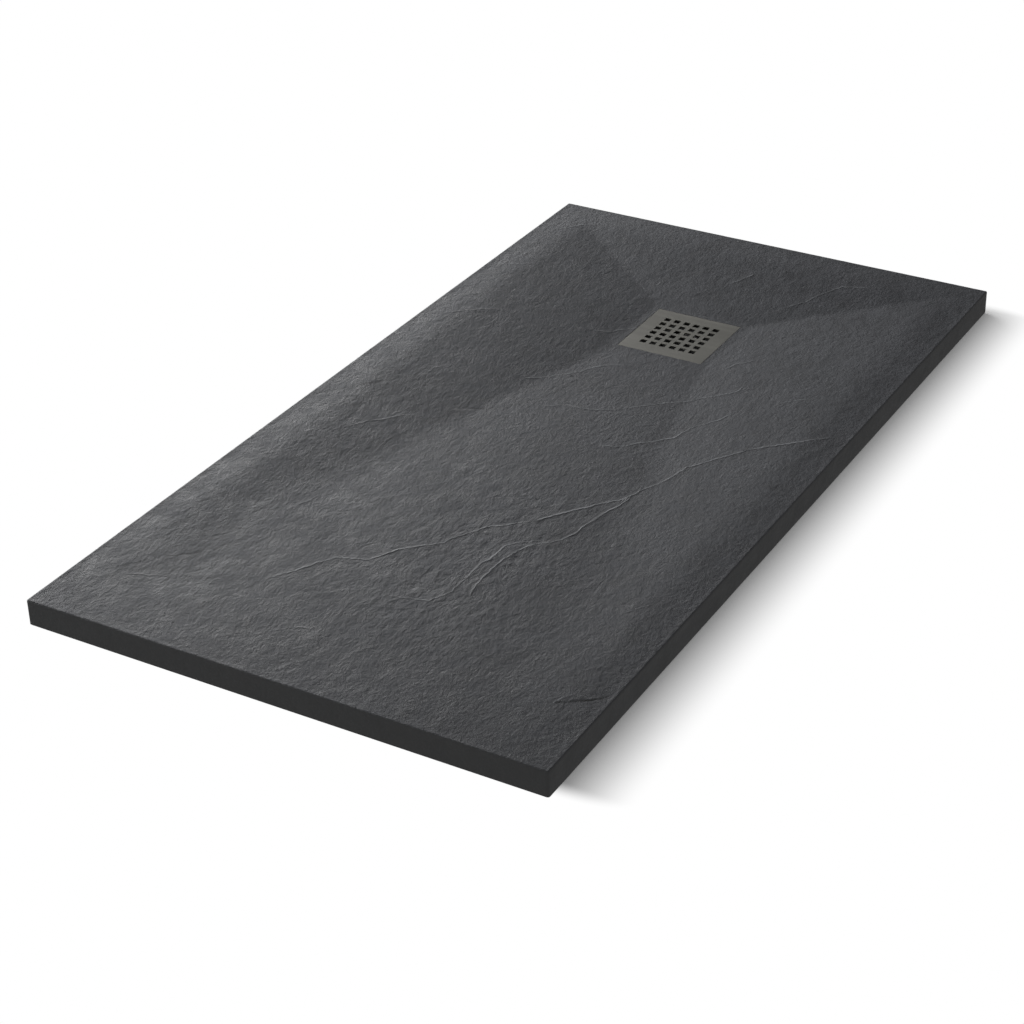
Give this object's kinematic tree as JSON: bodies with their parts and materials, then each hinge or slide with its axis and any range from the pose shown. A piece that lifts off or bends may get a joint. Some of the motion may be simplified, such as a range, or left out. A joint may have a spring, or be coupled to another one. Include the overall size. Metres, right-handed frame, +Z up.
{
  "type": "shower tray",
  "caption": "Low rectangular slate-textured shower tray with a shallow basin, a square perforated grate over an offset waste, and a low trap beneath.",
  "frame": {"origin": "middle of the tray's underside, at the plane that lies on the screed", "axes": "+X along the tray towards the end with the waste, +Y to its left, +Z up"},
  "size_m": [1.5, 0.8, 0.1075],
  "materials": {
    "slate_skin": "matte pigmented gel coat with a slate relief, anthracite",
    "cast_resin": "cast mineral-filled resin, matte, as it leaves the mould",
    "grate_steel": "satin stainless sheet with a fine grain",
    "stud_steel": "plain stainless",
    "pad_rubber": "black moulded rubber",
    "flange_plastic": "black moulded plastic",
    "gasket_rubber": "black sealing rubber",
    "screw_steel": "plain stainless",
    "insert_brass": "turned brass",
    "trap_plastic": "off-white moulded polypropylene",
    "insert_plastic": "dark grey moulded plastic",
    "strainer_plastic": "black moulded plastic",
    "washer_plastic": "white slip washer",
    "nut_plastic": "off-white moulded polypropylene"
  },
  "bodies": {
    "tray": {"tray_core": "cast_resin", "tray_skin": "slate_skin", "waste_flange": "flange_plastic", "flange_gasket": "gasket_rubber", "flange_screws": "screw_steel", "body_gasket": "gasket_rubber", "thread_inserts": "insert_brass", "trap_collar": "trap_plastic", "collar_seal": "gasket_rubber", "collar_screws": "screw_steel", "trap_bowl": "trap_plastic", "outlet_stub": "trap_plastic", "outlet_seal": "gasket_rubber", "outlet_washer": "washer_plastic", "outlet_nut": "nut_plastic"},
    "grate": {"grate_plate": "grate_steel", "grate_studs": "stud_steel", "grate_pads": "pad_rubber"},
    "insert": {"dip_tube": "insert_plastic", "tube_o_ring": "gasket_rubber", "seal_cup": "insert_plastic"},
    "strainer": {"hair_strainer": "strainer_plastic"}
  },
  "joints": [
    {"name": "grate_lift", "type": "slide", "parent": "tray", "child": "grate", "axis": [0, 0, 1], "range_m": [0, 0.22]},
    {"name": "insert_lift", "type": "slide", "parent": "tray", "child": "insert", "axis": [0, 0, 1], "range_m": [0, 0.11]},
    {"name": "strainer_lift", "type": "slide", "parent": "insert", "child": "strainer", "axis": [0, 0, 1], "range_m": [0, 0.055]}
  ],
  "couplings": [
    {"joint": "insert_lift", "follows": "grate_lift", "ratio": 0.5},
    {"joint": "strainer_lift", "follows": "grate_lift", "ratio": 0.25}
  ]
}
